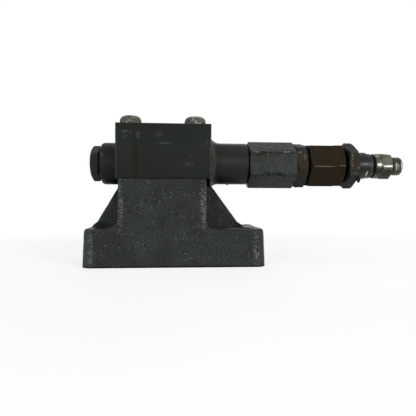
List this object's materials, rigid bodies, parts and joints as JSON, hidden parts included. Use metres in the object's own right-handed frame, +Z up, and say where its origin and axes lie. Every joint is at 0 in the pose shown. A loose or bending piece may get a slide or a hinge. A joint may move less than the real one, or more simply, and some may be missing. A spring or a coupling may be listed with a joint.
{
  "type": "ripper control valve",
  "caption": "Spool valve bolted on a webbed cast foot, shifted by oil pressure through the pilot fittings at its end.",
  "frame": {"origin": "centre of the foot's bottom face", "axes": "+X along the spool's bore towards the pilot fittings, +Y across the foot away from the side in the picture, +Z up from the foot"},
  "size_m": [0.2817, 0.062, 0.1252],
  "materials": {
    "grey_paint": "satin",
    "cast_paint": "rough cast, painted",
    "housing_paint": "satin, chipped",
    "stained_steel": "dull, stained",
    "dark_steel": "black oxide, rusty",
    "brown_steel": "rusted brown",
    "black_oxide": "black oxide, worn",
    "plated_steel": "dull plate",
    "bright_steel": "ground",
    "spring_steel": "oiled",
    "black_rubber": "matte"
  },
  "bodies": {
    "valve": {"base_casting": "cast_paint", "valve_body": "grey_paint", "cap_screws": "stained_steel", "port_seals": "black_rubber", "end_plug": "grey_paint", "plug_seal": "black_rubber", "return_spring": "spring_steel", "piston_housing": "housing_paint", "housing_seal": "black_rubber", "housing_lock_nut": "dark_steel", "connector_seal": "black_rubber", "pilot_connector": "brown_steel", "connector_lock_nut": "brown_steel", "union_nut": "dark_steel", "pilot_shank": "black_oxide", "shank_seal": "black_rubber", "adapter_seal": "black_rubber", "pilot_adapter": "plated_steel"},
    "spool_body": {"spool": "bright_steel", "spring_seat": "bright_steel"},
    "piston_body": {"pilot_piston": "bright_steel", "piston_seal": "black_rubber"}
  },
  "joints": [
    {"name": "spool_slide", "type": "slide", "parent": "valve", "child": "spool_body", "axis": [-1, 0, 0], "range_m": [0, 0.006], "stiffness_N_per_m": 8000, "springref_m": -0.01, "deforming": ["return_spring"]},
    {"name": "piston_slide", "type": "slide", "parent": "valve", "child": "piston_body", "axis": [-1, 0, 0], "range_m": [0, 0.006]}
  ],
  "couplings": [
    {"joint": "piston_slide", "follows": "spool_slide", "ratio": 1}
  ]
}
